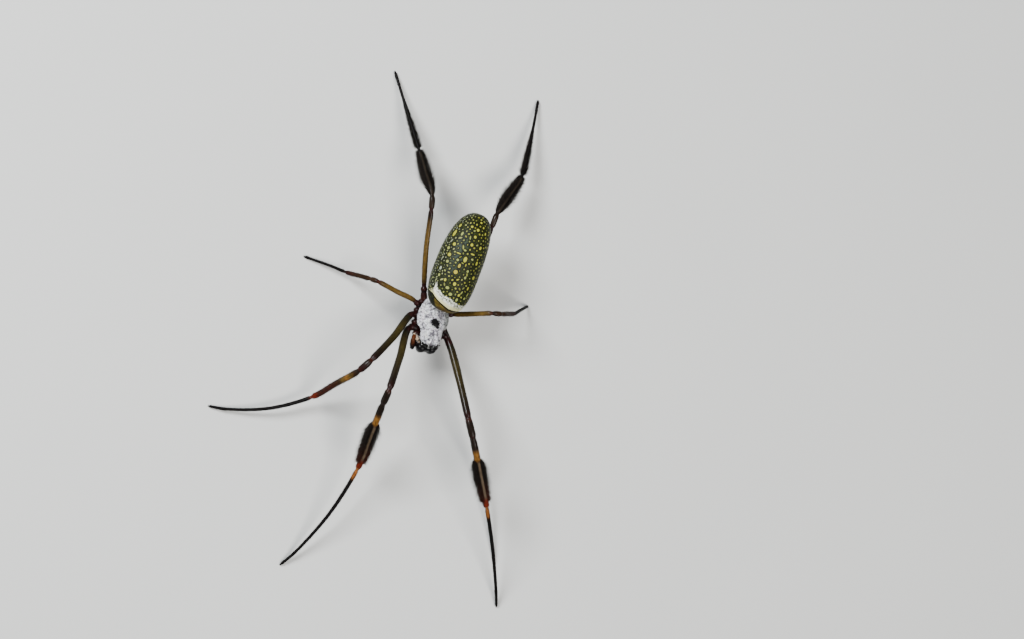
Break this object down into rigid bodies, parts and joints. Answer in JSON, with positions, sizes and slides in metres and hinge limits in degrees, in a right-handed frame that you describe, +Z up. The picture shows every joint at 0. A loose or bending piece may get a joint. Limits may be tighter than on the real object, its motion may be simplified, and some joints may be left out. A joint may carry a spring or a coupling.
{
  "type": "golden silk orb weaver spider model",
  "caption": "Life-size female orb weaver spider standing on its tarsi: silvery carapace, long spotted abdomen, banded legs with bristly brushes.",
  "frame": {"origin": "on the floor, at the middle of the whole stance's bounding box; the waist is about 8 mm behind it and the soles are at z = 0", "axes": "+Z up, -Y towards the head, +Y towards the tail, +X towards the spider's own left"},
  "size_m": [0.0709, 0.1058, 0.0183],
  "materials": {
    "shell": "silvery white down over a dark glossy shell",
    "face": "glossy black shell",
    "eye": "wet black",
    "palp": "orange-brown shell with dark tip",
    "hind_body": "soft dark green skin with yellow-white spots and a cream front band",
    "leg_root": "glossy maroon shell",
    "femur": "olive-ochre shell darkening outward",
    "shin": "near-black shell with orange bands and black bristles",
    "underside": "dull brown"
  },
  "bodies": {
    "root": {"abdomen": "hind_body", "carapace": "shell", "chelicera_left": "face", "chelicera_right": "face", "eye_front_middle_left": "eye", "eye_front_middle_right": "eye", "eye_front_side_left": "eye", "eye_front_side_right": "eye", "eye_rear_middle_left": "eye", "eye_rear_middle_right": "eye", "eye_rear_side_left": "eye", "eye_rear_side_right": "eye", "leg_1_left_coxa": "leg_root", "leg_1_left_femur": "femur", "leg_1_left_metatarsus": "shin", "leg_1_left_patella": "shin", "leg_1_left_tibia": "shin", "leg_1_right_coxa": "leg_root", "leg_1_right_femur": "femur", "leg_1_right_metatarsus": "shin", "leg_1_right_patella": "shin", "leg_1_right_tibia": "shin", "leg_2_left_coxa": "leg_root", "leg_2_left_femur": "femur", "leg_2_left_metatarsus": "shin", "leg_2_left_patella": "shin", "leg_2_left_tibia": "shin", "leg_2_right_coxa": "leg_root", "leg_2_right_femur": "femur", "leg_2_right_metatarsus": "shin", "leg_2_right_patella": "shin", "leg_2_right_tibia": "shin", "leg_3_left_coxa": "leg_root", "leg_3_left_femur": "femur", "leg_3_left_metatarsus": "shin", "leg_3_left_patella": "shin", "leg_3_left_tibia": "shin", "leg_3_right_coxa": "leg_root", "leg_3_right_femur": "femur", "leg_3_right_metatarsus": "shin", "leg_3_right_patella": "shin", "leg_3_right_tibia": "shin", "leg_4_left_coxa": "leg_root", "leg_4_left_femur": "femur", "leg_4_left_metatarsus": "shin", "leg_4_left_patella": "shin", "leg_4_left_tibia": "shin", "leg_4_right_coxa": "leg_root", "leg_4_right_femur": "femur", "leg_4_right_metatarsus": "shin", "leg_4_right_patella": "shin", "leg_4_right_tibia": "shin", "palp_left": "palp", "palp_right": "palp", "pedicel": "underside", "spinnerets": "underside", "sternum": "underside"}
  },
  "joints": []
}
